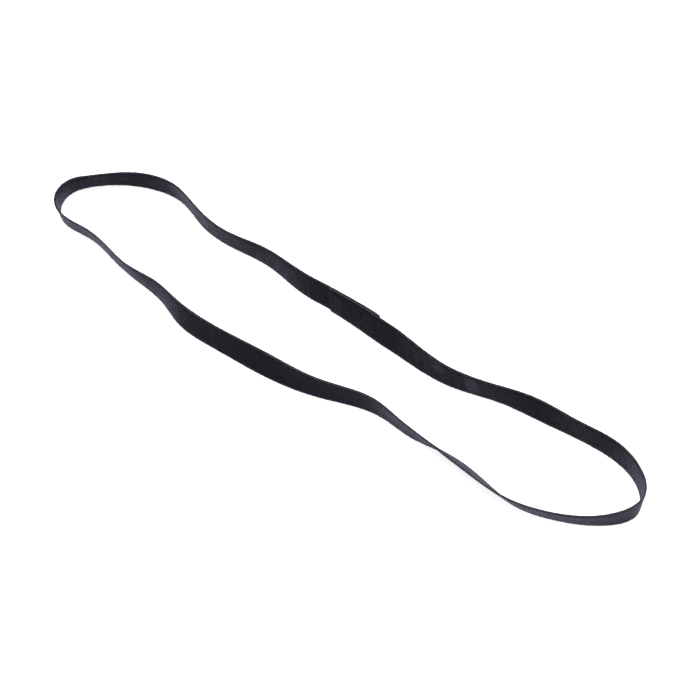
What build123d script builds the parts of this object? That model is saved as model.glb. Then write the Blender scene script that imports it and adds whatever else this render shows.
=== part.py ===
from build123d import *
from math import cos, radians, sin
import os

# A narrow sports headband: one length of brushed elastic tape, closed into a loop by a sewn
# lap seam and standing on its lower edge. Millimetres, +Z up, +X along the loop's long axis.

# Driving dimensions
loop_girth = 490.0  # once round the loop, along its standing line
band_width = 10.0
lap_length = 20.0  # overlap of the two tape ends
lap_blend = 10.0  # length over which each layer bends across to lie beside the other
lap_rise = 0.25  # how far the inner end is sewn above the outer one
lap_gap = 0.06  # between the two layers of the lap

cloth_thickness = 0.2
rubber_size = 0.28  # square section of one rubber thread
rubber_count = 10
selvedge_width = 0.6
selvedge_thickness = 0.6
layer_gap = 0.01  # between a rubber thread and the cloth on either side of it
edge_gap = 0.02  # between a selvedge and the cloth beside it

thread_diameter = 0.24
thread_gap = 0.03  # between the sewing thread and the cloth it lies on
tack_inset = 2.0  # from a tape end to the nearest stitch of its bar tack
tack_margin = 1.2  # from a tape edge to the ends of the stitches
tack_pitch = 0.42  # along the tape, from one stitch to the next
tack_stitches = 9
tack_turn = 0.18  # radius of the thread where it turns from one stitch into the next

section_spacing = 4.0  # between the sections that shape the tape
lean_scale = 0.001  # carries a lean in degrees as a height too small to change the route

# The loop as it lies: x and y of its standing line, and the lean in degrees, outward
# positive. It starts at the seam's outer end and runs anticlockwise seen from above.
route = [
    (4, 12.3, 2), (-14, 13.5, -4), (-30, 14, -6), (-46, 16.5, -16), (-61, 15.6, -21),
    (-75, 17, -15), (-90, 21.7, -20), (-104, 19, -25), (-115, 10.5, -31), (-119.5, 1, -26),
    (-115.5, -8, -4), (-108, -11.7, 21), (-97, -11.5, 29), (-84, -14, 22), (-72, -16.2, 24),
    (-58, -18.3, 13), (-46, -22.5, 1), (-30, -23.2, 2), (-8, -22, 0), (8, -18.3, 13),
    (26, -12.5, 19), (40, -13.2, 25), (53, -11.5, 42), (67, -13, 43), (81, -14.8, 36),
    (92, -11.5, 34), (102, -5, 28), (107, 3.5, 14), (103, 12, -2), (90, 18.3, -10),
    (76, 18.6, -14), (62, 17.2, -9), (49, 15.6, -18), (34, 11.4, -13), (19, 11, -2),
]

# What follows from them
tape_thickness = rubber_size + 2 * (layer_gap + cloth_thickness)
tape_length = loop_girth + lap_length
lap_step = (tape_thickness + lap_gap) / 2
cloth_margin = selvedge_width + edge_gap


def loop_line():
    """The standing line, scaled to the loop's girth, with the lean as its height."""
    drawn = Edge.make_spline([(x, y, lean * lean_scale) for x, y, lean in route], periodic=True)
    grow = loop_girth / drawn.length
    points = [(x * grow, y * grow, lean * lean_scale) for x, y, lean in route]
    return Edge.make_spline(points, periodic=True)


line = loop_line()


def ease(share):
    """A smooth step: 0 below 0, 1 above 1."""
    share = min(max(share, 0.0), 1.0)
    return share * share * (3 - 2 * share)


def lap_shift(arc):
    """How far the tape lies outside the standing line, at a distance from its outer end."""
    outer = 1 - ease((arc - lap_length) / lap_blend)
    inner = 1 - ease((loop_girth - arc) / lap_blend)
    return lap_step * (outer - inner)


def tape_point(arc, side, up):
    """A point of the tape: arc along it, side outwards from its middle, up from its edge."""
    share = (arc % loop_girth) / loop_girth
    foot = line.position_at(share)
    along = line.tangent_at(share)
    outward = Vector(along.Y, -along.X, 0).normalized()
    lean = radians(foot.Z / lean_scale)
    rise = Vector(0, 0, cos(lean)) + outward * sin(lean)
    through = outward * cos(lean) - Vector(0, 0, sin(lean))
    stand = selvedge_thickness / 2 * abs(sin(lean))
    stand += lap_rise * (1 - ease((tape_length - arc) / (lap_length + lap_blend)))
    base = Vector(foot.X, foot.Y, stand) + outward * lap_shift(arc)
    return base + through * side + rise * up


def strip(side, up):
    """A strip along the whole tape. side and up are its limits across and up the section."""
    count = round(tape_length / section_spacing)
    arcs = [tape_length * i / count for i in range(count + 1)]
    corners = [(side[0], up[0]), (side[1], up[0]), (side[1], up[1]), (side[0], up[1])]
    edges = []
    for across, height in corners:
        points = [tape_point(arc, across, height) for arc in arcs]
        edges.append(Edge.make_spline(points, parameters=arcs))
    pairs = list(zip(edges, edges[1:] + edges[:1]))
    faces = [Face.make_surface_from_curves(one, other) for one, other in pairs]
    for end in (0, 1):
        rim = [Edge.make_line(one @ end, other @ end) for one, other in pairs]
        faces.append(Face(Wire(rim)))
    return Solid(Shell(faces))


def bar_tack(start, facing):
    """Stitches to and fro across the tape, on its outer (1) or inner (-1) side."""
    side = facing * (tape_thickness / 2 + thread_gap + thread_diameter / 2)
    layer = 0 if facing > 0 else loop_girth
    heights = [tack_margin, band_width - tack_margin]
    corners = []
    for i in range(tack_stitches):
        arc = layer + start + i * tack_pitch
        corners += [tape_point(arc, side, up) for up in heights]
        heights.reverse()
    path = FilletPolyline(*corners, radius=tack_turn)
    section = Plane(path @ 0, z_dir=path % 0) * Circle(thread_diameter / 2)
    return sweep(section, path=path)


def tape_pieces():
    rubber = (-rubber_size / 2, rubber_size / 2)
    cloth = (rubber_size / 2 + layer_gap, tape_thickness / 2)
    selvedge = (-selvedge_thickness / 2, selvedge_thickness / 2)
    cloth_up = (cloth_margin, band_width - cloth_margin)
    pieces = {
        "outer_face_cloth": strip(cloth, cloth_up),
        "inner_face_cloth": strip((-cloth[1], -cloth[0]), cloth_up),
        "lower_selvedge": strip(selvedge, (0, selvedge_width)),
        "upper_selvedge": strip(selvedge, (band_width - selvedge_width, band_width)),
    }
    rubber_pitch = (band_width - 2 * cloth_margin) / rubber_count
    for i in range(rubber_count):
        middle = cloth_margin + rubber_pitch * (i + 0.5)
        up = (middle - rubber_size / 2, middle + rubber_size / 2)
        pieces[f"rubber_thread_{i + 1:02d}"] = strip(rubber, up)
    return pieces


def seam_pieces():
    tack_length = tack_pitch * (tack_stitches - 1)
    starts = {"outer_end": tack_inset, "inner_end": lap_length - tack_inset - tack_length}
    pieces = {}
    for name, start in starts.items():
        pieces[f"{name}_needle_thread"] = bar_tack(start, 1)
        pieces[f"{name}_bobbin_thread"] = bar_tack(start, -1)
    return pieces


pieces = tape_pieces() | seam_pieces()

# The origin is under the middle of the whole loop, on the surface that it stands on
whole = Compound(list(pieces.values())).bounding_box()
middle = whole.center()
settle = Location((-middle.X, -middle.Y, -whole.min.Z))

os.makedirs("parts", exist_ok=True)
for node, piece in pieces.items():
    export_step(piece.moved(settle), f"parts/{node}.step")
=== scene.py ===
import math

import bpy
import numpy as np
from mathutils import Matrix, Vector


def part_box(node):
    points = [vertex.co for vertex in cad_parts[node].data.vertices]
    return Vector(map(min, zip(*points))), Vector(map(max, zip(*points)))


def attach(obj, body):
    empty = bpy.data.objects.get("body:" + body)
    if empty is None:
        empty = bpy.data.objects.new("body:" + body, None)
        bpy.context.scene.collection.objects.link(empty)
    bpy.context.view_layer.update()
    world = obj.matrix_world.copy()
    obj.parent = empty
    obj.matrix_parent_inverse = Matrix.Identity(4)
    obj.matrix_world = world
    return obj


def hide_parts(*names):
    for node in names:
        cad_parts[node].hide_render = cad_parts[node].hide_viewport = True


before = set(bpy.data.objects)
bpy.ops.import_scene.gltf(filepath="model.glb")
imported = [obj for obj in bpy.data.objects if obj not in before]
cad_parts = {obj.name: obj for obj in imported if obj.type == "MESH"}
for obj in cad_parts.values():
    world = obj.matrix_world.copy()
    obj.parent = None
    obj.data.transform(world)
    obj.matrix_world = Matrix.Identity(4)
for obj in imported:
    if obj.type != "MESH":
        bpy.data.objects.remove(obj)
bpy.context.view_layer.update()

# A narrow brushed elastic headband, standing on its edge. Metres, in the part's own frame.

mm = 0.001

tape = {
    "girth": 490.0 * mm,  # once round the loop
    "width": 10.0 * mm,
    "thickness": 0.7 * mm,
    "lapLength": 20.0 * mm,  # overlap of the two ends
    "lapBlend": 10.0 * mm,  # length over which an end bends across to lie beside the other
    "lapRise": 0.25 * mm,  # how far the inner end is sewn above the outer one
    "lapGap": 0.06 * mm,
    "selvedgeWidth": 0.6 * mm,
    "selvedgeThickness": 0.6 * mm,
    "edgeGap": 0.02 * mm,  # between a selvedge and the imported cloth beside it
    "coreHalf": 0.15 * mm,  # from the tape's middle to a cloth's hidden side
    "samples": 12000,  # of the standing line, once round
}
tape["length"] = tape["girth"] + tape["lapLength"]
halfThick = tape["thickness"] / 2

# x and y of the standing line in millimetres, and the lean in degrees, outward positive
route = [
    (4, 12.3, 2), (-14, 13.5, -4), (-30, 14, -6), (-46, 16.5, -16), (-61, 15.6, -21),
    (-75, 17, -15), (-90, 21.7, -20), (-104, 19, -25), (-115, 10.5, -31), (-119.5, 1, -26),
    (-115.5, -8, -4), (-108, -11.7, 21), (-97, -11.5, 29), (-84, -14, 22), (-72, -16.2, 24),
    (-58, -18.3, 13), (-46, -22.5, 1), (-30, -23.2, 2), (-8, -22, 0), (8, -18.3, 13),
    (26, -12.5, 19), (40, -13.2, 25), (53, -11.5, 42), (67, -13, 43), (81, -14.8, 36),
    (92, -11.5, 34), (102, -5, 28), (107, 3.5, 14), (103, 12, -2), (90, 18.3, -10),
    (76, 18.6, -14), (62, 17.2, -9), (49, 15.6, -18), (34, 11.4, -13), (19, 11, -2),
]


# the path that every piece of the tape follows

def closedSpline(points, count):
    # a smooth closed curve through the points, as count steps
    span = np.linalg.norm(np.roll(points, -1, 0)[:, :2] - points[:, :2], axis=1)
    n = len(points)
    system = np.zeros((n, n))
    right = np.zeros_like(points)
    for i in range(n):
        before, after = span[i - 1], span[i]
        system[i, i - 1] += before
        system[i, i] += 2 * (before + after)
        system[i, (i + 1) % n] += after
        rising = (points[(i + 1) % n] - points[i]) / after
        right[i] = 6 * (rising - (points[i] - points[i - 1]) / before)
    bend = np.linalg.solve(system, right)
    ends = np.concatenate([[0], np.cumsum(span)])
    at = np.linspace(0, ends[-1], count + 1)
    i = np.clip(np.searchsorted(ends, at, side="right") - 1, 0, n - 1)
    j = (i + 1) % n
    h = span[i][:, None]
    a = (ends[i + 1] - at)[:, None]
    b = (at - ends[i])[:, None]
    curve = (bend[i] * a**3 + bend[j] * b**3) / (6 * h)
    curve += (points[i] / h - bend[i] * h / 6) * a
    curve += (points[j] / h - bend[j] * h / 6) * b
    return curve


line = closedSpline(np.array(route, float), tape["samples"])
run = np.concatenate([[0], np.cumsum(np.linalg.norm(np.diff(line[:, :2], axis=0), axis=1))])
line[:, :2] *= tape["girth"] / run[-1]
run *= tape["girth"] / run[-1]
slope = np.gradient(line[:, :2], run, axis=0)
slope[0] = slope[-1] = (slope[1] + slope[-2]) / 2
slope /= np.linalg.norm(slope, axis=1)[:, None]


def ease(share):
    # a smooth step from 0 to 1
    share = np.clip(share, 0, 1)
    return share * share * (3 - 2 * share)


def tapeFrame(arc):
    # the tape's own axes at distances from its outer end: foot, along, through and rise
    at = np.mod(arc, tape["girth"])
    x, y, lean = (np.interp(at, run, line[:, k]) for k in range(3))
    tx, ty = (np.interp(at, run, slope[:, k]) for k in range(2))
    size = np.hypot(tx, ty)
    tx, ty = tx / size, ty / size
    lean = np.radians(lean)
    zero = np.zeros_like(x)
    along = np.stack([tx, ty, zero], -1)
    outward = np.stack([ty, -tx, zero], -1)
    up = np.array([0, 0, 1.0])
    c, s = np.cos(lean)[..., None], np.sin(lean)[..., None]
    rise = up * c + outward * s
    through = outward * c - up * s
    outer = 1 - ease((arc - tape["lapLength"]) / tape["lapBlend"])
    inner = 1 - ease((tape["girth"] - arc) / tape["lapBlend"])
    shift = (tape["thickness"] + tape["lapGap"]) / 2 * (outer - inner)
    stand = tape["selvedgeThickness"] / 2 * np.abs(np.sin(lean))
    toInnerEnd = (tape["length"] - arc) / (tape["lapLength"] + tape["lapBlend"])
    stand = stand + tape["lapRise"] * (1 - ease(toInnerEnd))
    foot = np.stack([x, y, stand], -1) + outward * shift[..., None]
    return foot, along, through, rise


def tapePoint(arc, side, up):
    # side is measured outwards from the tape's middle, up from its lower edge
    foot, _, through, rise = tapeFrame(arc)
    return foot + through * np.asarray(side)[..., None] + rise * np.asarray(up)[..., None]


def settleOnFrame():
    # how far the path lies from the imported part, from the middles of one piece's two boxes
    arcs = np.linspace(0, tape["length"], tape["samples"] // 4)
    margin = tape["selvedgeWidth"] + tape["edgeGap"]
    corners = [
        tapePoint(arcs, np.full_like(arcs, side), np.full_like(arcs, up))
        for side in (tape["coreHalf"], halfThick)
        for up in (margin, tape["width"] - margin)
    ]
    cloud = np.concatenate(corners)
    low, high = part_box("outer_face_cloth")
    return (np.array(low) + np.array(high) - cloud.min(0) - cloud.max(0)) / 2


settle = settleOnFrame()
print("path settled by", np.round(settle / mm, 3), "mm")


def placed(arc, side, up):
    return tapePoint(arc, side, up) + settle


def unevenness(arc, up, size, reach, seed):
    # slow hand-like wander of a surface: a few waves of mixed length and direction
    waves = 7
    draw = np.random.default_rng(seed)
    total = np.zeros(np.broadcast(arc, up).shape)
    for _ in range(waves):
        wave = reach * draw.uniform(0.5, 1.8)
        tilt = draw.uniform(-0.5, 0.5)
        total += np.sin(2 * math.pi * (arc / wave + tilt * up / wave) + draw.uniform(0, 6.3))
    return total * size / waves**0.5


# what the shaders and the Geometry Nodes trees share

def socketNamed(group, name, inOut, kind, value=None):
    made = group.interface.new_socket(name=name, in_out=inOut, socket_type=kind)
    if value is not None:
        made.default_value = value


class Wires:
    # short ways to place and join nodes in one tree
    def __init__(self, tree):
        self.tree = tree

    def node(self, kind, **settings):
        made = self.tree.nodes.new(kind)
        for key, value in settings.items():
            setattr(made, key, value)
        return made

    def join(self, source, target):
        self.tree.links.new(source, target)

    def maths(self, operation, *terms, clamp=False):
        made = self.node("ShaderNodeMath", operation=operation, use_clamp=clamp)
        for socket, term in zip(made.inputs, terms):
            if isinstance(term, (int, float)):
                socket.default_value = term
            else:
                self.join(term, socket)
        return made.outputs[0]

    def vectors(self, operation, first, second):
        # the second term is a plain vector or a socket, and the factor of a SCALE
        made = self.node("ShaderNodeVectorMath", operation=operation)
        self.join(first, made.inputs[0])
        target = made.inputs["Scale"] if operation == "SCALE" else made.inputs[1]
        if isinstance(second, tuple):
            target.default_value = second
        else:
            self.join(second, target)
        return made.outputs["Vector"]

    def noise(self, vector, scale, detail, roughness):
        made = self.node("ShaderNodeTexNoise")
        made.inputs["Scale"].default_value = scale
        made.inputs["Detail"].default_value = detail
        made.inputs["Roughness"].default_value = roughness
        self.join(vector, made.inputs["Vector"])
        return made.outputs["Fac"]

    def blend(self, first, second, share):
        # a colour between two; each is a plain colour or a socket
        made = self.node("ShaderNodeMix", data_type="RGBA")
        self.join(share, made.inputs["Factor"])
        for label, colour in (("A", first), ("B", second)):
            if isinstance(colour, tuple):
                made.inputs[label].default_value = (*colour, 1)
            else:
                self.join(colour, made.inputs[label])
        return made.outputs["Result"]

    def bump(self, height, look, shader):
        made = self.node("ShaderNodeBump")
        made.inputs["Strength"].default_value = look["bumpStrength"]
        made.inputs["Distance"].default_value = look["bumpDepth"]
        self.join(height, made.inputs["Height"])
        self.join(made.outputs["Normal"], shader.inputs["Normal"])


# the brushed warp knit; its lengths are in millimetres, as its map is
knitLook = {
    "walePitch": 0.42,
    "coursePitch": 0.34,
    "wander": (1.1, 2.0, 0.5),  # a noise's scale, detail and roughness
    "waleWander": 0.5,
    "courseWander": 3.0,
    "legSlant": 1.3,
    "grooveSharpness": 5.0,
    "pile": (9.0, 5.0, 0.7),
    "tufts": (2.6, 3.0, 0.55),
    "broad": (0.5, 3.0, 0.55),
    "loopHeight": 0.5,
    "fuzzHeight": 2.4,
    "pileShade": 1.8,
    "tuftsShade": 1.2,
    "broadShade": 1.3,
    "loopShade": 0.35,
    "baseShade": 0.32,
}


def knitGroup():
    # height and shade of rows of loops under a fuzz of loose pile
    look = knitLook
    group = bpy.data.node_groups.new("brushedKnit", "ShaderNodeTree")
    socketNamed(group, "Map", "INPUT", "NodeSocketVector")
    socketNamed(group, "Wale pitch", "INPUT", "NodeSocketFloat", look["walePitch"])
    socketNamed(group, "Course pitch", "INPUT", "NodeSocketFloat", look["coursePitch"])
    socketNamed(group, "Fuzz", "INPUT", "NodeSocketFloat", 0.5)
    socketNamed(group, "Height", "OUTPUT", "NodeSocketFloat")
    socketNamed(group, "Shade", "OUTPUT", "NodeSocketFloat")
    w = Wires(group)
    entry, leave = w.node("NodeGroupInput"), w.node("NodeGroupOutput")
    place = entry.outputs["Map"]
    parts = w.node("ShaderNodeSeparateXYZ")
    w.join(place, parts.inputs[0])
    wander = w.maths("SUBTRACT", w.noise(place, *look["wander"]), 0.5)
    across = w.maths("DIVIDE", parts.outputs["Y"], entry.outputs["Wale pitch"])
    across = w.maths("ADD", across, w.maths("MULTIPLY", wander, look["waleWander"]))
    along = w.maths("DIVIDE", parts.outputs["X"], entry.outputs["Course pitch"])
    along = w.maths("ADD", along, w.maths("MULTIPLY", wander, look["courseWander"]))
    # each loop is a V: its two legs slant away from the middle of the wale
    offset = w.maths("ABSOLUTE", w.maths("SUBTRACT", w.maths("FRACT", across), 0.5))
    slanted = w.maths("ADD", along, w.maths("MULTIPLY", offset, look["legSlant"]))
    leg = w.maths("SINE", w.maths("MULTIPLY", slanted, 2 * math.pi))
    leg = w.maths("MULTIPLY", w.maths("ADD", leg, 1.0), 0.5)
    groove = w.maths("POWER", w.maths("MULTIPLY", offset, 2.0), look["grooveSharpness"])
    loops = w.maths("MULTIPLY", leg, w.maths("SUBTRACT", 1.0, groove))
    layers = {name: w.maths("SUBTRACT", w.noise(place, *look[name]), 0.5)
              for name in ("pile", "tufts", "broad")}
    fuzz = w.maths("MULTIPLY", layers["pile"], entry.outputs["Fuzz"])
    height = w.maths("ADD", w.maths("MULTIPLY", loops, look["loopHeight"]),
                     w.maths("MULTIPLY", fuzz, look["fuzzHeight"]))
    w.join(height, leave.inputs["Height"])
    shade = w.maths("MULTIPLY", loops, look["loopShade"])
    for name, layer in layers.items():
        shade = w.maths("ADD", shade, w.maths("MULTIPLY", layer, look[name + "Shade"]))
    w.join(w.maths("ADD", shade, look["baseShade"], clamp=True), leave.inputs["Shade"])
    return group


knit = knitGroup()


def newMaterial(name, roughness, specular, sheen=0.0, sheenRoughness=0.5, sheenTint=(1, 1, 1)):
    material = bpy.data.materials.new(name)
    material.use_nodes = True
    shader = material.node_tree.nodes["Principled BSDF"]
    shader.inputs["Roughness"].default_value = roughness
    shader.inputs["Specular IOR Level"].default_value = specular
    shader.inputs["Sheen Weight"].default_value = sheen
    shader.inputs["Sheen Roughness"].default_value = sheenRoughness
    shader.inputs["Sheen Tint"].default_value = (*sheenTint, 1)
    return material, shader, Wires(material.node_tree)


clothLook = {
    "dark": (0.0014, 0.0013, 0.0022),
    "light": (0.0102, 0.0096, 0.0160),
    "nap": (0.030, 0.027, 0.038),
    "roughness": 0.86,
    "specular": 0.03,
    "sheen": 0.43,
    "sheenRoughness": 0.23,
    "sheenTint": (0.66, 0.61, 0.83),
    "faceFuzz": 0.45,
    "plushFuzz": 0.8,
    "bumpStrength": 0.5,
    "bumpDepth": 0.09 * mm,
    "mapName": "tapeMap",  # millimetres along and up the tape
    "patchReach": 1.25,
    "patchRag": (1.3, 3.0, 0.7),
}

# nap raised on the inner face: arc, height, half length, half height in millimetres, strength
napPatches = [
    (464.0, 7.0, 2.4, 2.6, 0.32),
    (452.7, 5.0, 2.4, 4.6, 0.50),
    (506.8, 4.0, 1.6, 3.6, 0.25),
]


def napMask(w, place, patches):
    # 1 where the nap stands up, in patches with soft corners and a ragged edge
    parts = w.node("ShaderNodeSeparateXYZ")
    w.join(place, parts.inputs[0])
    ragged = w.noise(place, *clothLook["patchRag"])
    mask = None
    for arc, up, halfLong, halfHigh, strength in patches:
        dx = w.maths("DIVIDE", w.maths("SUBTRACT", parts.outputs["X"], arc), halfLong)
        dy = w.maths("DIVIDE", w.maths("SUBTRACT", parts.outputs["Y"], up), halfHigh)
        far = w.maths("ADD", w.maths("POWER", w.maths("ABSOLUTE", dx), 3.0),
                      w.maths("POWER", w.maths("ABSOLUTE", dy), 3.0))
        near = w.maths("SUBTRACT", clothLook["patchReach"], far, clamp=True)
        near = w.maths("MULTIPLY", near, w.maths("MULTIPLY", ragged, 2 * strength))
        mask = near if mask is None else w.maths("MAXIMUM", mask, near)
    return w.maths("MULTIPLY", mask, 1.0, clamp=True)


def clothMaterial(name, fuzz, patches=()):
    look = clothLook
    material, shader, w = newMaterial(
        name, look["roughness"], look["specular"], look["sheen"], look["sheenRoughness"],
        look["sheenTint"],
    )
    place = w.node("ShaderNodeUVMap", uv_map=look["mapName"]).outputs["UV"]
    weave = w.node("ShaderNodeGroup", node_tree=knit)
    weave.inputs["Fuzz"].default_value = fuzz
    w.join(place, weave.inputs["Map"])
    shown = w.blend(look["dark"], look["light"], weave.outputs["Shade"])
    if patches:
        shown = w.blend(shown, look["nap"], napMask(w, place, patches))
    w.join(shown, shader.inputs["Base Color"])
    w.bump(weave.outputs["Height"], look, shader)
    return material


yarnLook = {
    "roughness": 0.8,
    "specular": 0.04,
    "sheenRoughness": 0.3,
    "mapName": "yarnMap",  # along and round one turn of yarn, each from 0 to 1
    "strandsAlong": 5.0,
    "strandsRound": 3.0,
    "strandShade": 0.22,
    "strandHeight": 0.6,
    "fineShare": 0.6,
    "broadShare": 0.4,
    "broader": 14,  # how many times broader the coarse mottling is
    "darkest": 0.55,  # as shares of a yarn's own colour
    "lightest": 1.5,
    "bumpStrength": 0.6,
    "bumpDepth": 0.07 * mm,
}


def yarnMaterial(name, colour, sheen, fineness):
    # plain spun or twisted yarn, mottled on the part's own coordinates
    look = yarnLook
    material, shader, w = newMaterial(
        name, look["roughness"], look["specular"], sheen, look["sheenRoughness"],
        clothLook["sheenTint"],
    )
    place = w.node("ShaderNodeTexCoord").outputs["Object"]
    fine = w.noise(place, fineness, 4.0, 0.65)
    broad = w.noise(place, fineness / look["broader"], 2.0, 0.5)
    wound = w.node("ShaderNodeSeparateXYZ")
    w.join(w.node("ShaderNodeUVMap", uv_map=look["mapName"]).outputs["UV"], wound.inputs[0])
    strand = w.maths("ADD", w.maths("MULTIPLY", wound.outputs["X"], look["strandsAlong"]),
                     w.maths("MULTIPLY", wound.outputs["Y"], look["strandsRound"]))
    strand = w.maths("SINE", w.maths("MULTIPLY", strand, 2 * math.pi))
    share = w.maths("ADD", w.maths("MULTIPLY", fine, look["fineShare"]),
                    w.maths("MULTIPLY", broad, look["broadShare"]))
    share = w.maths("ADD", share, w.maths("MULTIPLY", strand, look["strandShade"]))
    dark = tuple(c * look["darkest"] for c in colour)
    light = tuple(c * look["lightest"] for c in colour)
    w.join(w.blend(dark, light, share), shader.inputs["Base Color"])
    w.bump(w.maths("ADD", fine, w.maths("MULTIPLY", strand, look["strandHeight"])), look, shader)
    return material


rubberLook = {
    "specular": 0.4,
    "bare": (0.018, 0.018, 0.020),
    "dusted": (0.075, 0.073, 0.078),
    "talc": (900, 5.0, 0.7),
    "bareRoughness": 0.42,
    "talcRoughness": 0.35,
    "bumpStrength": 0.3,
    "bumpDepth": 0.02 * mm,
}


def rubberMaterial():
    # square-cut elastic core: dull, dusted with talc
    look = rubberLook
    material, shader, w = newMaterial("rubberThread", look["bareRoughness"], look["specular"])
    talc = w.noise(w.node("ShaderNodeTexCoord").outputs["Object"], *look["talc"])
    shown = w.blend(look["bare"], look["dusted"], w.maths("MULTIPLY", talc, talc))
    w.join(shown, shader.inputs["Base Color"])
    rough = w.maths("ADD", w.maths("MULTIPLY", talc, look["talcRoughness"]), look["bareRoughness"])
    w.join(rough, shader.inputs["Roughness"])
    w.bump(talc, look, shader)
    return material


faceMaterial = clothMaterial("faceCloth", clothLook["faceFuzz"])
plushMaterial = clothMaterial("plushCloth", clothLook["plushFuzz"], napPatches)
# each yarn's colour, sheen and fineness
# lit copy of the selvedge yarn: its lighter colour and stronger sheen are a painted highlight
# along the top rim
litSelvedgeMaterial = yarnMaterial("litUpperSelvedgeYarn", (0.0250, 0.0234, 0.0335), 0.54, 4200)
# shaded copy of the same yarn: its darker colour and weaker sheen are painted shade along the
# lower edge by the floor
shadedSelvedgeMaterial = yarnMaterial("shadedLowerSelvedgeYarn", (0.0062, 0.0058, 0.0088), 0.18, 4200)
cutMaterial = yarnMaterial("cutEnd", (0.0085, 0.0080, 0.0112), 0.0, 3600)
fibreMaterial = yarnMaterial("looseFibre", (0.0095, 0.0089, 0.0140), 0.16, 2500)
threadMaterial = yarnMaterial("seamThread", (0.0072, 0.0068, 0.0096), 0.35, 5200)
coreMaterial = rubberMaterial()
print("materials made")


# mesh helpers

def linked(name, mesh):
    made = bpy.data.objects.new(name, mesh)
    bpy.context.scene.collection.objects.link(made)
    return made


def meshObject(name, points, faces, material):
    mesh = bpy.data.meshes.new(name)
    mesh.from_pydata([tuple(p) for p in points], [], faces)
    mesh.materials.append(material)
    mesh.update()
    return linked(name, mesh)


def chainObject(name, points):
    # a chain of edges for a tree to follow
    mesh = bpy.data.meshes.new(name)
    edges = [(i, i + 1) for i in range(len(points) - 1)]
    mesh.from_pydata([tuple(p) for p in points], edges, [])
    return linked(name, mesh)


def joined(first, *others):
    with bpy.context.temp_override(
        active_object=first, object=first, selected_editable_objects=[first, *others],
        selected_objects=[first, *others],
    ):
        bpy.ops.object.join()
    return first


def sweptTape(name, arcs, frontSide, backSide, ups, material):
    # a closed slab along the tape: a front and a back sheet, joined along rims and ends
    rows, cols = frontSide.shape
    arcGrid = np.repeat(arcs[:, None], cols, 1)
    upGrid = np.repeat(ups[None], rows, 0)
    front = placed(arcGrid, frontSide, upGrid).reshape(-1, 3)
    back = placed(arcGrid, backSide, upGrid).reshape(-1, 3)
    points = np.concatenate([front, back])
    maps = np.stack([arcGrid.ravel(), upGrid.ravel()], -1) / mm
    maps = np.concatenate([maps, maps])
    i, j = np.meshgrid(np.arange(rows - 1), np.arange(cols - 1), indexing="ij")
    a = (i * cols + j).ravel()
    quads = np.stack([a, a + cols, a + cols + 1, a + 1], -1)
    offset = rows * cols
    r = np.arange(rows - 1) * cols
    low = np.stack([r, r + offset, r + cols + offset, r + cols], -1)
    r = r + cols - 1
    high = np.stack([r, r + cols, r + cols + offset, r + offset], -1)
    c = np.arange(cols - 1)
    start = np.stack([c, c + 1, c + 1 + offset, c + offset], -1)
    c = c + (rows - 1) * cols
    end = np.stack([c, c + offset, c + 1 + offset, c + 1], -1)
    faces = np.concatenate([quads, quads[:, ::-1] + offset, low, high, start, end])
    made = meshObject(name, points, faces.tolist(), material)
    layer = made.data.uv_layers.new(name=clothLook["mapName"])
    index = np.empty(len(made.data.loops), np.int32)
    made.data.loops.foreach_get("vertex_index", index)
    layer.uv.foreach_set("vector", maps[index].astype(np.float32).ravel())
    # the cut ends are flat, sharp-rimmed and have a look of their own
    made.data.materials.append(cutMaterial)
    cut = np.zeros(len(faces), bool)
    cut[-2 * (cols - 1):] = True
    made.data.polygons.foreach_set("material_index", cut.astype(np.int32))
    made.data.shade_smooth()
    made.data.polygons.foreach_set("use_smooth", ~cut)
    rims = {key for k in np.flatnonzero(cut) for key in made.data.polygons[k].edge_keys}
    for edge in made.data.edges:
        if edge.key in rims:
            edge.use_edge_sharp = True
    return made


# the two cloths

cloth = {
    "ribs": 10,
    "faceRibHeight": 0.045 * mm,
    "plushRibHeight": 0.028 * mm,
    "edgeFall": 0.09 * mm,  # how far the cloth thins beside the selvedge
    "edgeReach": 0.8 * mm,
    "tuck": 0.16 * mm,  # how far its edges go in under the selvedges
    "step": 0.62 * mm,
    "pointsPerRib": 4,
    "endFall": 0.10 * mm,  # how far the pressed ends thin
    "endReach": 1.6 * mm,
    "leastThick": 0.02 * mm,
    "wander": (0.012 * mm, 9 * mm),  # size and reach of its unevenness
    "ripple": (0.010 * mm, 2.6 * mm),
}


def clothPiece(name, facing, ribHeight, material, seed):
    # facing is 1 for the outer face and -1 for the inner one
    margin = tape["selvedgeWidth"] - cloth["tuck"]
    cols = cloth["ribs"] * cloth["pointsPerRib"] + 1
    ups = np.linspace(margin, tape["width"] - margin, cols)
    rows = int(tape["length"] / cloth["step"]) + 1
    arcs = np.linspace(0, tape["length"], rows)
    arc, up = np.meshgrid(arcs, ups, indexing="ij")
    pitch = (tape["width"] - 2 * margin) / cloth["ribs"]
    rib = -np.cos(2 * math.pi * (up - margin) / pitch)
    fromEdge = np.minimum(up, tape["width"] - up) - margin
    fall = cloth["edgeFall"] * (1 - ease(fromEdge / cloth["edgeReach"]))
    fromEnd = np.minimum(arc, tape["length"] - arc)
    fall += cloth["endFall"] * (1 - ease(fromEnd / cloth["endReach"]))
    surface = halfThick - ribHeight * 0.5 + ribHeight * 0.5 * rib - fall
    surface += unevenness(arc, up, *cloth["wander"], seed)
    surface += unevenness(arc, up, *cloth["ripple"], seed + 1)
    hidden = np.full_like(surface, tape["coreHalf"])
    surface = np.maximum(surface, tape["coreHalf"] + cloth["leastThick"])
    front, back = (surface, hidden) if facing > 0 else (-hidden, -surface)
    return sweptTape(name, arcs, front, back, ups, material)


outerFace = clothPiece("outerFaceCloth", 1, cloth["faceRibHeight"], faceMaterial, 21)
innerFace = clothPiece("innerFaceCloth", -1, cloth["plushRibHeight"], plushMaterial, 31)
print("cloths made", len(outerFace.data.polygons) + len(innerFace.data.polygons), "faces")


# Geometry Nodes: what the trees share

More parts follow.
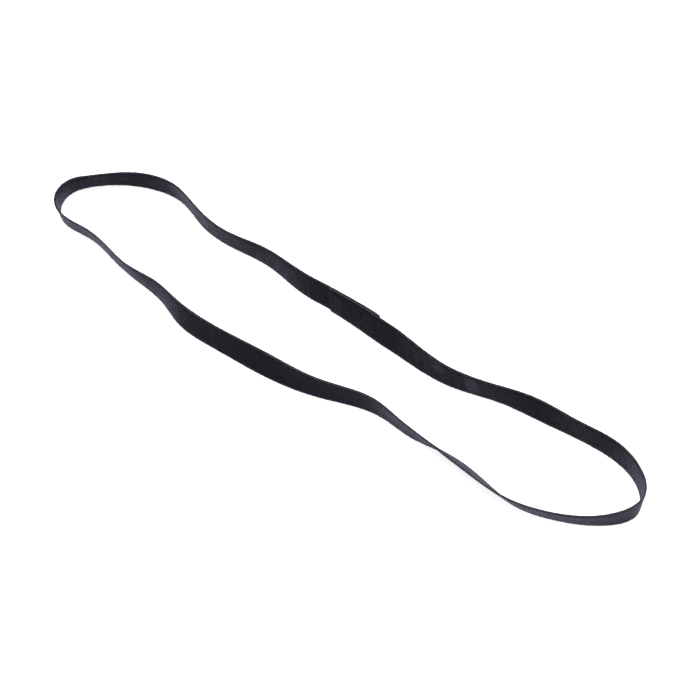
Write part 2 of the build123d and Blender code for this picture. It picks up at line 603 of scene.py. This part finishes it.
def geometryTree(name, inputs):
    # a tree's wires, its inputs and its output
    tree = bpy.data.node_groups.new(name, "GeometryNodeTree")
    socketNamed(tree, "Geometry", "INPUT", "NodeSocketGeometry")
    socketNamed(tree, "Geometry", "OUTPUT", "NodeSocketGeometry")
    for label, kind in inputs:
        socketNamed(tree, label, "INPUT", kind)
    w = Wires(tree)
    return w, w.node("NodeGroupInput").outputs, w.node("NodeGroupOutput").inputs


def evenCurve(w, entry, step):
    # the guide as a curve, cut into equal steps
    path = w.node("GeometryNodeMeshToCurve")
    w.join(entry["Geometry"], path.inputs["Mesh"])
    even = w.node("GeometryNodeResampleCurve", mode="LENGTH")
    w.join(path.outputs["Curve"], even.inputs["Curve"])
    w.join(entry[step], even.inputs["Length"])
    return even.outputs["Curve"]


def carried(w, name, kind):
    made = w.node("GeometryNodeInputNamedAttribute", data_type=kind)
    made.inputs["Name"].default_value = name
    return made.outputs["Attribute"]


def turned(w, rotation, by):
    made = w.node("FunctionNodeRotateRotation", rotation_space="LOCAL")
    w.join(rotation, made.inputs["Rotation"])
    w.join(by, made.inputs["Rotate By"])
    return made.outputs["Rotation"]


def copiesOn(w, points, shape, rotation, size):
    # one copy of an object at each point
    info = w.node("GeometryNodeObjectInfo")
    w.join(shape, info.inputs["Object"])
    place = w.node("GeometryNodeInstanceOnPoints")
    w.join(points, place.inputs["Points"])
    w.join(info.outputs["Geometry"], place.inputs["Instance"])
    w.join(rotation, place.inputs["Rotation"])
    w.join(size, place.inputs["Scale"])
    return place.outputs["Instances"]


def finishTree(w, geometry, entry, leave):
    # real mesh, in the material asked for
    solid = w.node("GeometryNodeRealizeInstances")
    w.join(geometry, solid.inputs["Geometry"])
    dressed = w.node("GeometryNodeSetMaterial")
    w.join(solid.outputs["Geometry"], dressed.inputs["Geometry"])
    w.join(entry["Material"], dressed.inputs["Material"])
    w.join(dressed.outputs["Geometry"], leave["Geometry"])
    return w.tree


def runTree(source, tree, values, name):
    # set the inputs by identifier, evaluate, and keep the result as a plain mesh
    modifier = source.modifiers.new("build", "NODES")
    modifier.node_group = tree
    for item in tree.interface.items_tree:
        if item.item_type == "SOCKET" and item.in_out == "INPUT" and item.name in values:
            modifier[item.identifier] = values[item.name]
    view = bpy.context.evaluated_depsgraph_get()
    view.update()
    mesh = bpy.data.meshes.new_from_object(source.evaluated_get(view), depsgraph=view)
    mesh.name = name
    source.modifiers.remove(modifier)
    bpy.data.objects.remove(source)
    mesh.shade_smooth()
    return linked(name, mesh)


# the selvedges

selvedge = {
    "pitch": 0.52 * mm,
    "scallop": 2.1 * mm,  # every few turns stand a little prouder
    "scallopDepth": 0.09,
    "bunching": (1.2, 30 * mm),  # size and reach of the scallops' wander
    "swelling": (0.03, 5 * mm),
    "scatter": 0.3,
    "turnLong": 0.74 * mm,
    "turnWide": 0.56 * mm,  # through the tape
    "turnHigh": 0.62 * mm,
    "turnRings": 6,
    "turnSides": 8,
    "turnSkew": 0.34,
    "fullness": 0.55,  # lower makes a turn blunter towards its ends
    "squareness": (0.55, 0.75),  # lower makes a turn boxier, through the tape and up it
    "coreRadius": 0.19 * mm,
    "coreFlat": 0.15,  # least half width of the core, as a share of its radius
    "coreStep": 1.0 * mm,
    "endInset": 0.2 * mm,
    "endTaper": 0.3,
    "samples": 2000,
}


def selvedgeTree():
    # yarn turns set along an edge, each a small bent link round the edge cord
    w, entry, leave = geometryTree("selvedgeTurns", [
        ("Turn", "NodeSocketObject"), ("Pitch", "NodeSocketFloat"),
        ("Scatter", "NodeSocketFloat"), ("Seed", "NodeSocketInt"),
        ("Material", "NodeSocketMaterial"),
    ])
    points = evenCurve(w, entry, "Pitch")
    upright = w.node("FunctionNodeAlignRotationToVector", axis="Z")
    w.join(carried(w, "riseAxis", "FLOAT_VECTOR"), upright.inputs["Vector"])
    facing = w.node("FunctionNodeAlignRotationToVector", axis="X", pivot_axis="Z")
    w.join(upright.outputs["Rotation"], facing.inputs["Rotation"])
    w.join(carried(w, "alongAxis", "FLOAT_VECTOR"), facing.inputs["Vector"])
    chance = w.node("FunctionNodeRandomValue", data_type="FLOAT_VECTOR")
    w.join(entry["Seed"], chance.inputs["Seed"])
    spread = w.vectors("SUBTRACT", chance.outputs["Value"], (0.5, 0.5, 0.5))
    wobble = w.vectors("SCALE", spread, entry["Scatter"])
    tilt = turned(w, facing.outputs["Rotation"], wobble)
    turns = copiesOn(w, points, entry["Turn"], tilt, carried(w, "swell", "FLOAT"))
    return finishTree(w, turns, entry, leave)


def yarnTurn(material):
    # one bulging turn of yarn: a slanted bead with a waist at each end
    rings, sides = selvedge["turnRings"], selvedge["turnSides"]
    throughPower, risePower = selvedge["squareness"]
    points, faces = [(-0.5, 0, 0)], []
    for i in range(1, rings):
        t = i / rings
        full = math.sin(math.pi * t) ** selvedge["fullness"]
        for k in range(sides):
            a = 2 * math.pi * k / sides
            through = math.copysign(abs(math.cos(a)) ** throughPower, math.cos(a))
            rise = math.copysign(abs(math.sin(a)) ** risePower, math.sin(a))
            points.append((t - 0.5 + selvedge["turnSkew"] * through * full,
                           0.5 * full * through, 0.5 * full * rise))
    points.append((0.5, 0, 0))
    last = len(points) - 1
    for k in range(sides):
        n = (k + 1) % sides
        faces.append((0, 1 + n, 1 + k))
        faces.append((last, last - sides + k, last - sides + n))
        for i in range(rings - 2):
            a, b = 1 + i * sides, 1 + (i + 1) * sides
            faces.append((a + k, a + n, b + n, b + k))
    size = (selvedge["turnLong"], selvedge["turnWide"], selvedge["turnHigh"])
    wound = [(p[0] + 0.5, math.atan2(p[2], p[1]) / (2 * math.pi) + 0.5) for p in points]
    points = [tuple(c * s for c, s in zip(p, size)) for p in points]
    made = meshObject("yarnTurn", points, faces, material)
    layer = made.data.uv_layers.new(name=yarnLook["mapName"])
    for face in made.data.polygons:
        turns = [wound[made.data.loops[k].vertex_index] for k in face.loop_indices]
        high = max(v for _, v in turns)
        for k, (t, v) in zip(face.loop_indices, turns):
            layer.uv[k].vector = (t, v + 1 if high - v > 0.5 else v)
    return made


def edgeGuide(name, arcs, up, swell):
    # a chain along one edge, carrying the tape's own axes and the size of the turns
    _, along, _, rise = tapeFrame(arcs)
    made = chainObject(name, placed(arcs, np.zeros_like(arcs), np.full_like(arcs, up)))
    for label, kind, field, values in (
        ("riseAxis", "FLOAT_VECTOR", "vector", rise),
        ("alongAxis", "FLOAT_VECTOR", "vector", along),
        ("swell", "FLOAT", "value", swell),
    ):
        layer = made.data.attributes.new(label, kind, "POINT")
        layer.data.foreach_set(field, values.astype(np.float32).ravel())
    return made


def edgeCore(name, up, material):
    # the cord inside the turns
    rows = int(tape["length"] / selvedge["coreStep"]) + 1
    arcs = np.linspace(0, tape["length"], rows)
    angle = np.linspace(-math.pi / 2, math.pi / 2, 7)
    ups = up + selvedge["coreRadius"] * np.sin(angle)
    half = selvedge["coreRadius"] * np.clip(np.cos(angle), selvedge["coreFlat"], None)
    front = np.repeat(half[None], rows, 0)
    return sweptTape(name, arcs, front, -front, ups, material)


def selvedgePiece(name, up, seed, material):
    inset = selvedge["endInset"]
    arcs = np.linspace(inset, tape["length"] - inset, selvedge["samples"])
    phase = 2 * math.pi * arcs / selvedge["scallop"]
    wave = np.sin(phase + unevenness(arcs, 0, *selvedge["bunching"], seed))
    swell = 1 + selvedge["scallopDepth"] * (wave - 1) / 2
    swell += unevenness(arcs, 0, *selvedge["swelling"], seed + 3)
    fromEnd = np.minimum(arcs, tape["length"] - arcs)
    swell *= 1 - selvedge["endTaper"] * (1 - ease(fromEnd / cloth["endReach"]))
    values = {
        "Turn": turnShape, "Pitch": selvedge["pitch"], "Scatter": selvedge["scatter"],
        "Seed": seed, "Material": material,
    }
    turns = runTree(edgeGuide(name + "Guide", arcs, up, swell), edgeTree, values, name)
    return joined(turns, edgeCore(name + "Core", up, material))


turnShape = yarnTurn(litSelvedgeMaterial)
edgeTree = selvedgeTree()
halfTurn = selvedge["turnHigh"] / 2
# the lower selvedge wears the shaded copy of the yarn, painted shade
lowerSelvedge = selvedgePiece("lowerSelvedge", halfTurn, 5, shadedSelvedgeMaterial)
# the upper selvedge wears the lit copy of the yarn, a painted highlight
upperSelvedge = selvedgePiece("upperSelvedge", tape["width"] - halfTurn, 9, litSelvedgeMaterial)
bpy.data.objects.remove(turnShape)
print("selvedges made", len(lowerSelvedge.data.polygons), "faces each")


# loose fibres

fibre = {
    "length": 1.0 * mm,
    "root": 0.013 * mm,
    "taper": 0.4,
    "bend": 0.5,
    "tip": 0.93,  # height of the bent tip, as a share of the length
    "outerDensity": 3.4e6,  # a square metre
    "innerDensity": 3.8e6,
    "smallest": 0.12,  # as shares of the length
    "largest": 0.32,
    "lean": 0.95,
    "depth": 0.04 * mm,  # of the roots below the cloth's proudest ribs
    "margin": 0.4 * mm,
    "endInset": 0.3 * mm,
    "skinStep": 2.0 * mm,
    "skinColumns": 5,
}


def fibreTree():
    # loose fibres standing out of a skin, bent and turned at random
    w, entry, leave = geometryTree("looseFibres", [
        ("Fibre", "NodeSocketObject"), ("Density", "NodeSocketFloat"),
        ("Smallest", "NodeSocketFloat"), ("Largest", "NodeSocketFloat"),
        ("Lean", "NodeSocketFloat"), ("Seed", "NodeSocketInt"),
        ("Material", "NodeSocketMaterial"),
    ])
    spots = w.node("GeometryNodeDistributePointsOnFaces", distribute_method="RANDOM")
    w.join(entry["Geometry"], spots.inputs["Mesh"])
    w.join(entry["Density"], spots.inputs["Density"])
    w.join(entry["Seed"], spots.inputs["Seed"])
    chance = w.node("FunctionNodeRandomValue", data_type="FLOAT_VECTOR")
    chance.inputs["Min"].default_value = (-1, -1, -math.pi)
    chance.inputs["Max"].default_value = (1, 1, math.pi)
    w.join(entry["Seed"], chance.inputs["Seed"])
    weights = w.node("ShaderNodeCombineXYZ")
    w.join(entry["Lean"], weights.inputs["X"])
    w.join(entry["Lean"], weights.inputs["Y"])
    weights.inputs["Z"].default_value = 1.0
    lean = w.vectors("MULTIPLY", chance.outputs["Value"], weights.outputs["Vector"])
    tilt = turned(w, spots.outputs["Rotation"], lean)
    size = w.node("FunctionNodeRandomValue", data_type="FLOAT")
    w.join(entry["Smallest"], size.inputs[2])
    w.join(entry["Largest"], size.inputs[3])
    w.join(entry["Seed"], size.inputs["Seed"])
    hairs = copiesOn(w, spots.outputs["Points"], entry["Fibre"], tilt, size.outputs[1])
    return finishTree(w, hairs, entry, leave)


def fibreShape():
    # one tapered, bent hair with three sides
    points, faces, sides, rings = [], [], 3, 2
    for i in range(rings):
        t = i / rings
        radius = fibre["root"] * (1 - t * fibre["taper"])
        for k in range(sides):
            a = 2 * math.pi * k / sides
            points.append((radius * math.cos(a) + fibre["bend"] * t * t * fibre["length"],
                           radius * math.sin(a), t * fibre["length"]))
    points.append((fibre["bend"] * fibre["length"], 0, fibre["tip"] * fibre["length"]))
    tip = len(points) - 1
    for k in range(sides):
        n = (k + 1) % sides
        for i in range(rings - 1):
            a, b = i * sides, (i + 1) * sides
            faces.append((a + k, a + n, b + n, b + k))
        faces.append((tip - sides + k, tip - sides + n, tip))
    faces.append((2, 1, 0))
    return meshObject("fibreShape", points, faces, fibreMaterial)


def skinSheet(name, side):
    # an open sheet to grow fibres from; its faces look away from the tape's middle
    rows = int(tape["length"] / fibre["skinStep"]) + 1
    cols = fibre["skinColumns"]
    arcs = np.linspace(fibre["endInset"], tape["length"] - fibre["endInset"], rows)
    ups = np.linspace(fibre["margin"], tape["width"] - fibre["margin"], cols)
    arc, up = np.meshgrid(arcs, ups, indexing="ij")
    points = placed(arc, np.full_like(arc, side), up).reshape(-1, 3)
    faces = []
    for i in range(rows - 1):
        for j in range(cols - 1):
            a = i * cols + j
            quad = (a, a + cols, a + cols + 1, a + 1)
            faces.append(quad if side >= 0 else quad[::-1])
    return meshObject(name, points, faces, fibreMaterial)


def fibrePiece(name, side, density, seed):
    values = {
        "Fibre": hairShape, "Density": density, "Smallest": fibre["smallest"],
        "Largest": fibre["largest"], "Lean": fibre["lean"], "Seed": seed,
        "Material": fibreMaterial,
    }
    return runTree(skinSheet(name + "Skin", side), napTree, values, name)


hairShape = fibreShape()
napTree = fibreTree()
rootSide = halfThick - fibre["depth"]
outerNap = fibrePiece("outerNap", rootSide, fibre["outerDensity"], 3)
innerNap = fibrePiece("innerNap", -rootSide, fibre["innerDensity"], 4)
bpy.data.objects.remove(hairShape)
print("fibres made", len(outerNap.data.polygons), len(innerNap.data.polygons), "faces")


# the seam's bar tacks

tack = {
    "diameter": 0.24 * mm,
    "sunk": 0.06 * mm,  # how deep the thread's middle lies in the pile
    "inset": 2.0 * mm,
    "margin": 1.2 * mm,
    "pitch": 0.42 * mm,
    "stitches": 9,
    "pointsPerStitch": 26,
    "bow": 0.14,  # how far a stitch bows along the tape, in pitches
    "drift": 0.12,
    "dipShare": 0.06,  # of a stitch's length, at each of its ends
    "dipDepth": 0.30 * mm,
    "turnsPerMetre": 900.0,
    "step": 0.07 * mm,
    "plyRadius": 0.56,  # as a share of the thread's own radius
    "plySides": 7,
}


def threadTree():
    # a two-ply thread along a guide: each ply winds round the guide's line
    w, entry, leave = geometryTree("twoPlyThread", [
        ("Radius", "NodeSocketFloat"), ("Turns per metre", "NodeSocketFloat"),
        ("Spacing", "NodeSocketFloat"), ("Material", "NodeSocketMaterial"),
    ])
    curve = evenCurve(w, entry, "Spacing")
    along = w.node("GeometryNodeSplineParameter")
    normal = w.node("GeometryNodeInputNormal").outputs["Normal"]
    tangent = w.node("GeometryNodeInputTangent").outputs["Tangent"]
    sideways = w.vectors("CROSS_PRODUCT", tangent, normal)
    turn = w.maths("MULTIPLY", along.outputs["Length"], entry["Turns per metre"])
    half = w.maths("MULTIPLY", entry["Radius"], 0.5)
    ring = w.node("GeometryNodeCurvePrimitiveCircle")
    ring.inputs["Resolution"].default_value = tack["plySides"]
    w.join(w.maths("MULTIPLY", entry["Radius"], tack["plyRadius"]), ring.inputs["Radius"])
    both = w.node("GeometryNodeJoinGeometry")
    for phase in (0.0, math.pi):
        angle = w.maths("ADD", w.maths("MULTIPLY", turn, 2 * math.pi), phase)
        swing = w.maths("MULTIPLY", w.maths("COSINE", angle), half)
        sway = w.maths("MULTIPLY", w.maths("SINE", angle), half)
        offset = w.vectors("ADD", w.vectors("SCALE", normal, swing),
                           w.vectors("SCALE", sideways, sway))
        moved = w.node("GeometryNodeSetPosition")
        w.join(curve, moved.inputs["Geometry"])
        w.join(offset, moved.inputs["Offset"])
        ply = w.node("GeometryNodeCurveToMesh")
        ply.inputs["Fill Caps"].default_value = True
        w.join(moved.outputs["Geometry"], ply.inputs["Curve"])
        w.join(ring.outputs["Curve"], ply.inputs["Profile Curve"])
        w.join(ply.outputs["Mesh"], both.inputs["Geometry"])
    return finishTree(w, both.outputs["Geometry"], entry, leave)


def tackPiece(name, start, facing):
    # to and fro across the tape, each end dipping where the needle went through
    side = facing * (halfThick - tack["sunk"])
    layer = 0 if facing > 0 else tape["girth"]
    low, high = tack["margin"], tape["width"] - tack["margin"]
    t = np.linspace(0, 1, tack["pointsPerStitch"])
    bow = tack["bow"] * np.sin(math.pi * t) + tack["drift"] * t
    dip = np.clip(1 - np.minimum(t, 1 - t) / tack["dipShare"], 0, 1) ** 2
    arcs, heights, depths = [], [], []
    for i in range(tack["stitches"]):
        begin, end = (low, high) if i % 2 == 0 else (high, low)
        arcs.append(layer + start + tack["pitch"] * (i + bow))
        heights.append(begin + (end - begin) * t)
        depths.append(side - facing * tack["dipDepth"] * dip)
    arc, up, depth = (np.concatenate(x) for x in (arcs, heights, depths))
    values = {
        "Radius": tack["diameter"] / 2, "Turns per metre": tack["turnsPerMetre"],
        "Spacing": tack["step"], "Material": threadMaterial,
    }
    return runTree(chainObject(name + "Guide", placed(arc, depth, up)), plyTree, values, name)


plyTree = threadTree()
tackLength = tack["pitch"] * (tack["stitches"] - 1)
tackStarts = {"outer": tack["inset"], "inner": tape["lapLength"] - tack["inset"] - tackLength}
tacks = {}
for end, start in tackStarts.items():
    tacks[end + "_end_needle_thread"] = tackPiece(end + "TackNeedle", start, 1)
    tacks[end + "_end_bobbin_thread"] = tackPiece(end + "TackBobbin", start, -1)
print("tacks made", [len(t.data.polygons) for t in tacks.values()], "faces")


# into the frame

for piece, node, slot in (
    (outerFace, "outer_face_cloth", "face_cloth"),
    (innerFace, "inner_face_cloth", "plush_cloth"),
    (lowerSelvedge, "lower_selvedge", "selvedge"),
    (upperSelvedge, "upper_selvedge", "selvedge"),
):
    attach(piece, "root")
    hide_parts(node)
for piece in (outerNap, innerNap):
    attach(piece, "root")
for node, piece in tacks.items():
    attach(piece, "root")
    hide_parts(node)
for name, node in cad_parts.items():
    if name.startswith("rubber_thread"):
        node.data.materials.clear()
        node.data.materials.append(coreMaterial)
print("pieces placed on the frame")


# floor, light and camera

studio = {
    "cameraAzimuth": 42.0,
    "cameraElevation": 41.0,
    "cameraDistance": 0.700,
    "lens": 119.2,
    "aim": (0.4 * mm, 3.75 * mm),  # beside the route's own zero
    "floorSize": 3.0,
    "floorShade": 0.93,
    "floorRoughness": 0.75,
    "floorSpecular": 0.1,
    "floorDrop": 0.02 * mm,  # keeps the floor clear of the band's lower edge
    "floorGlow": 0.6,  # a light table: it fills the shadows in
    "worldStrength": 0.85,
    # name, place, size and power of each light
    "lights": (("overhead", (0.0, 0.1, 1.0), 1.1, 8), ("front", (0.7, -0.8, 0.8), 0.9, 6)),
}


def makeFloor():
    half = studio["floorSize"] / 2
    corners = [(-half, -half, 0), (half, -half, 0), (half, half, 0), (-half, half, 0)]
    material, shader, _ = newMaterial(
        "paleFloor", studio["floorRoughness"], studio["floorSpecular"],
    )
    shader.inputs["Base Color"].default_value = (*[studio["floorShade"]] * 3, 1)
    shader.inputs["Emission Color"].default_value = (1, 1, 1, 1)
    shader.inputs["Emission Strength"].default_value = studio["floorGlow"]
    floor = meshObject("floor", corners, [(0, 1, 2, 3)], material)
    floor.location.z = -studio["floorDrop"]


def areaLight(name, place, size, power):
    # aimed at the middle of the band
    data = bpy.data.lights.new(name, "AREA")
    data.size = size
    data.energy = power
    lamp = linked(name, data)
    lamp.location = place
    lamp.rotation_euler = (-Vector(place)).to_track_quat("-Z", "Y").to_euler()


def makeCamera():
    azimuth = math.radians(studio["cameraAzimuth"])
    height = math.radians(studio["cameraElevation"])
    back = Vector((math.sin(azimuth) * math.cos(height),
                   -math.cos(azimuth) * math.cos(height), math.sin(height)))
    aim = Vector((studio["aim"][0] + settle[0], studio["aim"][1] + settle[1], 0))
    data = bpy.data.cameras.new("camera")
    data.lens = studio["lens"]
    data.clip_start = 0.01
    data.clip_end = 10
    camera = linked("camera", data)
    camera.location = aim + back * studio["cameraDistance"]
    camera.rotation_euler = (-back).to_track_quat("-Z", "Y").to_euler()
    bpy.context.scene.camera = camera


def makeWorld():
    world = bpy.data.worlds.new("studio")
    world.use_nodes = True
    sky = world.node_tree.nodes["Background"]
    sky.inputs["Color"].default_value = (1, 1, 1, 1)
    sky.inputs["Strength"].default_value = studio["worldStrength"]
    bpy.context.scene.world = world
    bpy.context.scene.view_settings.view_transform = "Standard"


makeFloor()
makeCamera()
for lamp in studio["lights"]:
    areaLight(*lamp)
makeWorld()
